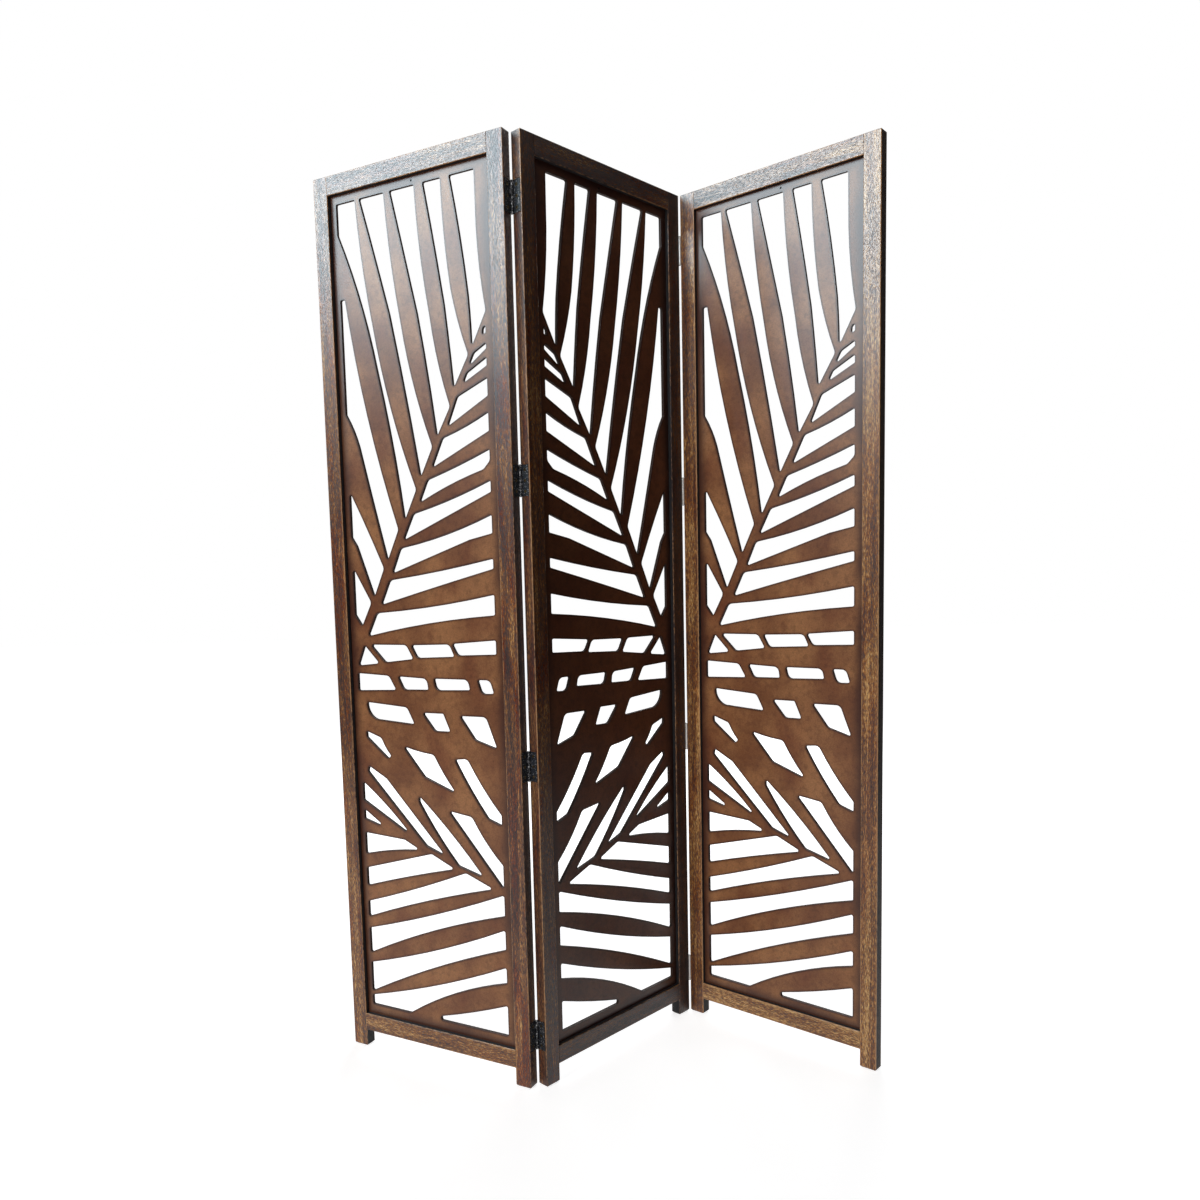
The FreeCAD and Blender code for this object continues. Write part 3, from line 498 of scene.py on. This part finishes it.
@dataclass(frozen=True)
class LacqueredBoard:
    """Smooth fibreboard under brown satin lacquer, darker in its cut edges, and darker against the frame from
    stain pooled there and painted shade.

    Sizes, widths and reaches are in metres.
    """

    face: Colour = tone(150, 104, 67)
    cloud: Colour = tone(112, 70, 44)
    cloud_size: float = 0.13
    cloud_detail: float = 2.0
    cloud_contrast: float = 0.5
    cloud_share: Step = Step(0.34, 0.66)
    red: Colour = tone(104, 54, 33)
    red_patches: Marks = Marks(0.07, 0.12)
    red_shift: float = 4.0
    red_share: Step = Step(0.45, 0.75, 0.0, 0.6)
    # One dark tone for the specks, the mottling, the burnt rims round the cuts and the painted shade against
    # the frame.
    mottle_and_shade: Colour = tone(50, 25, 19)
    speck_size: float = 0.0022
    speck_detail: float = 2.0
    speck_contrast: float = 0.6
    speck_share: Step = Step(0.3, 0.7, 0.0, 0.3)
    mottle: Marks = Marks(0.011, 0.011, detail=3.0, contrast=0.65)
    mottle_shift: float = 7.0
    mottle_share: Step = Step(0.45, 0.7, 0.0, 0.3)
    frame_shade_share: Step = Step(0.0, 0.028, 0.9, 0.0)
    frame_shade_spread: float = -0.02
    frame_shade_inset: float = 0.01
    cut_reach: float = 0.0058
    cut_rays: int = 8
    beside_cut: Step = Step(0.6, 1.0, 0.9, 0.0)
    edge: Colour = tone(60, 43, 36)
    in_cut: Step = Step(0.0026, 0.0029, 1.0, 0.0)
    roughness: Step = Step(0.0, 1.0, 0.33, 0.9)
    relief: Relief = Relief(0.00004, 0.3)
    gloss: float = 0.36

    def make(self, name: str, place: PanelPlace) -> bpy.types.Material:
        """Make the finish for one board.

        Args:
            name: The material's name.
            place: The panel that the board belongs to.

        Returns:
            The material.
        """
        material, wiring = new_material(name)
        local = place.local(wiring)
        clouds = wiring.clouds(local, self.cloud_size, self.cloud_detail, self.cloud_contrast)
        colour = wiring.blend(wiring.fade(clouds, self.cloud_share), self.face, self.cloud)
        patches = wiring.streaks(local, self.red_patches, self.red_shift)
        colour = wiring.blend(wiring.fade(patches, self.red_share), colour, self.red)
        specks = wiring.clouds(local, self.speck_size, self.speck_detail, self.speck_contrast)
        colour = wiring.blend(wiring.fade(specks, self.speck_share), colour, self.mottle_and_shade)
        mottle = wiring.streaks(local, self.mottle, self.mottle_shift)
        colour = wiring.blend(wiring.fade(mottle, self.mottle_share), colour, self.mottle_and_shade)

        axes = wiring.split(local)
        # Darker within a few centimetres of the stiles and rails, where the board sits recessed: partly stain
        # pooled in the corner, partly painted shade.
        from_frame = wiring.maths("ADD", self.to_frame(wiring, axes, place), self.frame_shade_inset)
        uneven = wiring.maths("MULTIPLY_ADD", clouds, self.frame_shade_spread, from_frame)
        colour = wiring.blend(wiring.fade(uneven, self.frame_shade_share), colour, self.mottle_and_shade)
        solid = wiring.add("AmbientOcclusion", {"Distance": self.cut_reach}, inside=True, only_local=True,
                           samples=self.cut_rays).outputs["AO"]
        colour = wiring.blend(wiring.fade(solid, self.beside_cut), colour, self.mottle_and_shade)
        in_cut = wiring.fade(wiring.maths("ABSOLUTE", axes["Y"]), self.in_cut)
        colour = wiring.blend(in_cut, colour, self.edge)
        rough = wiring.fade(in_cut, self.roughness)
        wiring.surface(colour, rough, specks, self.relief, {"Specular IOR Level": self.gloss})
        return material

    @staticmethod
    def to_frame(wiring: Wiring, axes: bpy.types.NodeOutputs, place: PanelPlace) -> Socket:
        """How far a point of the board lies from the nearest stile or rail.

        Args:
            wiring: The material's nodes.
            axes: The point's place across, through and up the panel.
            place: The panel that the board belongs to.

        Returns:
            The distance's output, in metres.
        """
        side = wiring.maths("SUBTRACT", place.clear_width / 2, wiring.maths("ABSOLUTE", axes["X"]))
        low = wiring.maths("SUBTRACT", axes["Z"], place.sight_bottom)
        high = wiring.maths("SUBTRACT", place.sight_top, axes["Z"])
        return wiring.maths("MINIMUM", side, wiring.maths("MINIMUM", low, high))


@dataclass(frozen=True)
class Metal:
    """Steel with a finish of its own and brighter worn spots, which are also smoother.

    The uneven step gives how much the roughness rises and falls from spot to spot.
    """

    coat: Colour
    worn: Colour
    bare: float
    roughness: float
    spot: float = 0.0015
    worn_share: Step = Step(0.5, 0.68)
    uneven: Step = Step(0.3, 0.7, 0.08, -0.08)
    relief: Relief = Relief(0.00005, 0.5)

    def make(self, name: str) -> bpy.types.Material:
        """Make the finish for one kind of metal piece.

        Args:
            name: The material's name.

        Returns:
            The material.
        """
        material, wiring = new_material(name)
        spots = wiring.spots(self.spot)
        colour = wiring.blend(wiring.fade(spots, self.worn_share), self.coat, self.worn)
        around = self.uneven._replace(start=self.roughness + self.uneven.start,
                                      end=self.roughness + self.uneven.end)
        wiring.surface(colour, wiring.fade(spots, around), spots, self.relief, {"Metallic": self.bare})
        return material


@dataclass(frozen=True)
class HingeSteel:
    """Black lacquered hinge leaves, chipped, with knuckles that are rubbed bright round the pin.

    The share, from 0 to 1, is how much of the knuckles is rubbed bright.
    """

    coat: Colour
    knuckle: Colour
    share: float
    spot: float = 0.0012
    knuckle_edge: Step = Step(0.003, 0.0033, 1.0, 0.0)
    least_rubbed: Step = Step(0.66, 0.72)
    most_rubbed: Step = Step(0.26, 0.42)
    chips: Step = Step(0.6, 0.64, 0.0, 0.9)
    metal: float = 0.8
    roughness: Step = Step(0.0, 1.0, 0.5, 0.32)
    relief: Relief = Relief(0.00005, 0.5)

    @property
    def rubbed(self) -> Step:
        """The levels between which a spot on the knuckles is rubbed bright, for this share."""
        least, most = self.least_rubbed, self.most_rubbed
        return Step(least.low + (most.low - least.low) * self.share,
                    least.high + (most.high - least.high) * self.share)

    def make(self, name: str, pin: Vector) -> bpy.types.Material:
        """Make the finish for the leaves on one hinged edge.

        Args:
            name: The material's name.
            pin: A point on the line of the pins.

        Returns:
            The material.
        """
        material, wiring = new_material(name)
        spots = wiring.spots(self.spot)
        plan = wiring.vectors("MULTIPLY", {0: wiring.here(), 1: (1.0, 1.0, 0.0)})[0]
        away = wiring.vectors("DISTANCE", {0: plan, 1: (pin.x, pin.y, 0.0)})["Value"]
        round_pin = wiring.fade(away, self.knuckle_edge)
        bright = wiring.maths("MULTIPLY", wiring.fade(spots, self.rubbed), round_pin)
        bright = wiring.maths("MAXIMUM", bright, wiring.fade(spots, self.chips))
        colour = wiring.blend(bright, self.coat, self.knuckle)
        bare = wiring.maths("MULTIPLY", bright, self.metal)
        wiring.surface(colour, wiring.fade(bright, self.roughness), spots, self.relief, {"Metallic": bare})
        return material


@dataclass(frozen=True)
class Beech:
    """Pale raw beech with short fine flecks along the dowel."""

    wood: Colour = tone(206, 172, 128)
    fleck: Colour = tone(168, 124, 82)
    fleck_size: float = 0.0009
    fleck_share: Step = Step(0.45, 0.65)
    roughness: Step = Step(0.3, 0.7, 0.62, 0.78)
    relief: Relief = Relief(0.00008, 0.5)

    def make(self, name: str) -> bpy.types.Material:
        """Make the finish of the dowels.

        Args:
            name: The material's name.

        Returns:
            The material.
        """
        material, wiring = new_material(name)
        flecks = wiring.spots(self.fleck_size)
        colour = wiring.blend(wiring.fade(flecks, self.fleck_share), self.wood, self.fleck)
        wiring.surface(colour, wiring.fade(flecks, self.roughness), flecks, self.relief)
        return material


@dataclass(frozen=True)
class HingedEdge:
    """The four hinges on one edge: leaves, pins and screws."""

    name: str
    leaf: HingeSteel
    pin: Metal = Metal(tone(90, 90, 92), tone(196, 194, 190), bare=0.9, roughness=0.33)
    screw: Metal = Metal(tone(112, 94, 66), tone(206, 186, 146), bare=1.0, roughness=0.34)

    def dress(self) -> None:
        """Give the leaves, the pins and the screws their finishes."""
        low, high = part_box(f"{self.name}_hinge_top_pin")
        leaf = self.leaf.make(f"leaf_{self.name}", (low + high) / 2)
        pin = self.pin.make(f"pin_{self.name}")
        screw = self.screw.make(f"screw_{self.name}")
        for name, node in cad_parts.items():
            if not name.startswith(f"{self.name}_hinge"):
                continue
            if name.endswith("_leaf"):
                wear(node, leaf)
            elif name.endswith("_pin"):
                wear(node, pin)
            else:
                wear(node, screw)
            log.info("dressed %s", name)


class Rubbed(NamedTuple):
    """How far the stain of each piece of a frame is rubbed back, below zero for a darker one."""

    left_stile: float
    right_stile: float
    top_rail: float
    bottom_rail: float


@dataclass(frozen=True)
class Panel:
    """One framed board of the screen.

    Its right stile can be painted lighter towards the foot, which is painted light, and darker along its
    outer edge, from dirt and painted shade. Each of its stiles and rails has a seed of its own, one seed step
    on from the last.
    """

    place: PanelPlace
    seed: float
    rubbed: Rubbed
    foot_painted_light: float = 0.0
    edge_dirt_and_shade: float = 0.3
    seed_step: float = 3.7
    wood: StainedWood = StainedWood()
    lacquer: LacqueredBoard = LacqueredBoard()
    beech: Beech = Beech()

    @property
    def members(self) -> tuple[Member, ...]:
        """The stiles and rails, with how far each is rubbed back."""
        return (
            Member("left_stile", Grain.UPRIGHT, self.rubbed.left_stile),
            Member("right_stile", Grain.UPRIGHT, self.rubbed.right_stile, self.foot_painted_light, self.edge_dirt_and_shade),
            Member("top_rail", Grain.LEVEL, self.rubbed.top_rail),
            Member("bottom_rail", Grain.LEVEL, self.rubbed.bottom_rail),
        )

    def dress(self) -> None:
        """Give the stiles, the rails, the board and the dowels their finishes."""
        for turn, member in enumerate(self.members):
            label = f"{self.place.name}_{member.name}"
            seed = self.seed + self.seed_step * turn
            wear(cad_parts[label], self.wood.make(f"stain_{label}", self.place, member, seed))
            log.info("dressed %s", label)
        board = f"{self.place.name}_board"
        wear(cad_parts[board], self.lacquer.make(f"lacquer_{board}", self.place))
        log.info("dressed %s", board)
        dowels = f"{self.place.name}_dowels"
        wear(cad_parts[dowels], self.beech.make(f"beech_{dowels}"))
        log.info("dressed %s", dowels)


@dataclass(frozen=True)
class FoldingScreen:
    """The whole screen: how its panels stand, and how each panel and hinged edge has aged."""

    middle_yaw: float = math.radians(46.2)
    left_turn: float = math.radians(74.0)
    right_turn: float = math.radians(86.8)
    # The middle panel faces away from the lamps; its board takes this darker copy of the lacquer, which is
    # painted shade.
    painted_shade_lacquer: LacqueredBoard = LacqueredBoard(face=tone(126, 76, 46), cloud=tone(102, 58, 36))
    black_leaf: HingeSteel = HingeSteel(tone(18, 20, 26), tone(190, 190, 192), share=0.35, spot=0.003)
    worn_leaf: HingeSteel = HingeSteel(tone(60, 60, 64), tone(206, 202, 198), share=1.0)

    @property
    def panels(self) -> tuple[Panel, ...]:
        """The three panels, from left to right."""
        left = PanelPlace("left_panel", self.middle_yaw - self.left_turn)
        middle = PanelPlace("middle_panel", self.middle_yaw)
        right = PanelPlace("right_panel", self.middle_yaw - self.right_turn)
        return (
            # The left panel's right stile is painted lighter towards its foot: painted light.
            Panel(left, 1.3, Rubbed(0.03, -0.05, 0.03, 0.1), foot_painted_light=0.14),
            # The middle panel's darker lacquer is painted shade.
            Panel(middle, 14.9, Rubbed(0.0, -0.12, -0.04, -0.04), lacquer=self.painted_shade_lacquer),
            # The right panel's right-facing outer edge is darkened far more: dirt and painted shade.
            Panel(right, 29.6, Rubbed(0.08, 0.1, 0.04, 0.19), edge_dirt_and_shade=0.92),
        )

    def dress(self) -> None:
        """Dress the panels, then the hinges between them."""
        for part in (*self.panels, HingedEdge("left", self.black_leaf), HingedEdge("right", self.worn_leaf)):
            part.dress()


@dataclass(frozen=True)
class Softbox:
    """A large lamp with an even face, in metres, with its brightness for each square metre."""

    name: str
    centre: tuple[float, float, float]
    aim: tuple[float, float, float]
    width: float
    height: float
    brightness: float
    tint: tuple[float, float, float] = (0.95, 0.98, 1.0)
    unseen: Unseen = Unseen.BY_CAMERA

    def build(self) -> bpy.types.Object:
        """Hang the lamp.

        Returns:
            The lamp.
        """
        data = bpy.data.lights.new(self.name, "AREA")
        data.shape = "RECTANGLE"
        data.size = self.width
        data.size_y = self.height
        data.energy = self.brightness * math.pi * self.width * self.height
        data.color = self.tint
        lamp = bpy.data.objects.new(self.name, data)
        bpy.context.scene.collection.objects.link(lamp)
        lamp.location = self.centre
        way = Vector(self.aim) - Vector(self.centre)
        lamp.rotation_euler = way.to_track_quat("-Z", "Y").to_euler()
        lamp.visible_camera = False
        setattr(lamp, self.unseen.value, False)
        return lamp


@dataclass(frozen=True)
class Drape:
    """A dark cloth beside the set, which only the gloss of the lacquer shows."""

    name: str
    foot: tuple[float, float]
    turn: float
    width: float
    height: float
    colour: Colour = (0.01, 0.01, 0.012, 1.0)

    def build(self) -> bpy.types.Object:
        """Hang the drape upright from its foot.

        Returns:
            The drape.
        """
        bpy.ops.object.select_all(action="DESELECT")
        middle = (*self.foot, self.height / 2)
        upright = (0.0, math.pi / 2, self.turn)
        bpy.ops.mesh.primitive_plane_add(size=1.0, location=middle, rotation=upright)
        drape = bpy.context.object
        drape.name = self.name
        drape.scale = (self.height, self.width, 1.0)
        bpy.ops.object.transform_apply(location=False, rotation=False, scale=True)
        material, wiring = new_material(self.name)
        cloth = wiring.add("BsdfDiffuse", {"Color": self.colour})
        wiring.add("OutputMaterial", {"Surface": cloth.outputs[0]})
        wear(drape, material)
        drape.visible_camera = False
        drape.visible_diffuse = False
        drape.visible_shadow = False
        return drape


@dataclass(frozen=True)
class Studio:
    """The floor, the lamps, the drapes and the white surroundings, in metres."""

    floor_size: float = 30.0
    floor_colour: Colour = (0.6, 0.6, 0.6, 1.0)
    floor_glow: float = 0.82
    fade_start: float = 0.9
    fade_end: float = 2.6
    ambient: float = 0.03
    ambient_tint: Colour = (0.5, 0.65, 1.0, 1.0)
    lamps: tuple[Softbox, ...] = (
        Softbox("window", centre=(-3.0, -1.5, 3.52), aim=(0.0, -0.1, 3.52), width=3.2, height=2.4,
                brightness=16.5, tint=(0.7, 0.9, 1.0), unseen=Unseen.BY_MATT),
        Softbox("front_left", centre=(-6.08, -6.64, 2.25), aim=(0.0, 0.0, 0.9), width=1.8, height=4.5,
                brightness=27.0, tint=(1.0, 0.98, 0.95), unseen=Unseen.BY_GLOSS),
        Softbox("back", centre=(0.6, 3.6, 2.4), aim=(0.0, 0.0, 0.9), width=2.8, height=2.8,
                brightness=5.0),
    )
    drapes: tuple[Drape, ...] = (
        Drape("left_drape", foot=(-3.0, -1.0), turn=0.35, width=4.0, height=1.9),
        Drape("right_drape", foot=(2.2, 0.0), turn=0.0, width=5.0, height=3.2),
    )

    @staticmethod
    def seen(wiring: Wiring) -> Socket:
        """Whether a ray shows the surroundings, straight, mirrored or through glass.

        Args:
            wiring: The nodes that ask.

        Returns:
            The answer's output, 1 where they are shown and 0 where they only light.
        """
        path = wiring.add("LightPath").outputs
        glossy = wiring.maths("MAXIMUM", path["Is Camera Ray"], path["Is Glossy Ray"])
        return wiring.maths("MAXIMUM", glossy, path["Is Transmission Ray"])

    def build_world(self) -> None:
        """White surroundings to look at, and a weak even light to light by."""
        world = bpy.data.worlds.new("surroundings")
        bpy.context.scene.world = world
        world.use_nodes = True
        wiring = Wiring(world.node_tree)
        seen = self.seen(wiring)
        colour = wiring.blend(seen, self.ambient_tint, WHITE)
        strength = wiring.fade(seen, Step(0.0, 1.0, self.ambient, 1.0))
        light = wiring.add("Background", {"Color": colour, "Strength": strength})
        wiring.add("OutputWorld", {"Surface": light.outputs[0]})

    def build_floor(self) -> None:
        """A pale floor that keeps the screen's shadow and goes over into the surroundings."""
        bpy.ops.object.select_all(action="DESELECT")
        bpy.ops.mesh.primitive_plane_add(size=self.floor_size)
        floor = bpy.context.object
        floor.name = "floor"
        material, wiring = new_material("pale_floor")
        far = wiring.vectors("LENGTH", {0: wiring.here()})["Value"]
        away = wiring.fade(far, Step(self.fade_start, self.fade_end, self.floor_glow, 1.0))
        glow = wiring.maths("MULTIPLY", away, self.seen(wiring))
        cloth = wiring.add("BsdfDiffuse", {"Color": self.floor_colour})
        light = wiring.add("Emission", {"Color": WHITE, "Strength": glow})
        both = wiring.add("AddShader", {0: cloth.outputs[0], 1: light.outputs[0]})
        wiring.add("OutputMaterial", {"Surface": both.outputs[0]})
        wear(floor, material)

    def build(self) -> None:
        """Set up the surroundings, the floor, the lamps and the drapes."""
        self.build_world()
        self.build_floor()
        for hanging in (*self.lamps, *self.drapes):
            hanging.build()
            log.info("hung %s", hanging.name)


@dataclass(frozen=True)
class PhotoCamera:
    """The camera at the photograph's viewpoint, in metres, radians and millimetres of film."""

    position: tuple[float, float, float] = (-0.00249, -1.95948, 0.99745)
    pitch: float = math.radians(5.584)
    roll: float = math.radians(-1.302)
    film: float = 36.0
    lens: float = 28.648
    shift: tuple[float, float] = (0.00147, 0.05911)

    def build(self) -> None:
        """Place the camera and make it the scene's own."""
        data = bpy.data.cameras.new("photo_camera")
        data.sensor_width = self.film
        data.lens = self.lens
        data.shift_x, data.shift_y = self.shift
        camera = bpy.data.objects.new("photo_camera", data)
        bpy.context.scene.collection.objects.link(camera)
        level = Matrix.Rotation(math.pi / 2 - self.pitch, 4, "X")
        turn = Matrix.Rotation(self.roll, 4, "Z")
        camera.matrix_world = Matrix.Translation(self.position) @ level @ turn
        bpy.context.scene.camera = camera


def main() -> None:
    """Dress the screen piece by piece and set it in its studio."""
    logging.basicConfig(level=logging.INFO, format="%(message)s")
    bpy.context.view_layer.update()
    FoldingScreen().dress()
    Studio().build()
    PhotoCamera().build()
    bpy.context.scene.view_settings.view_transform = "Standard"


if __name__ == "__main__":
    main()
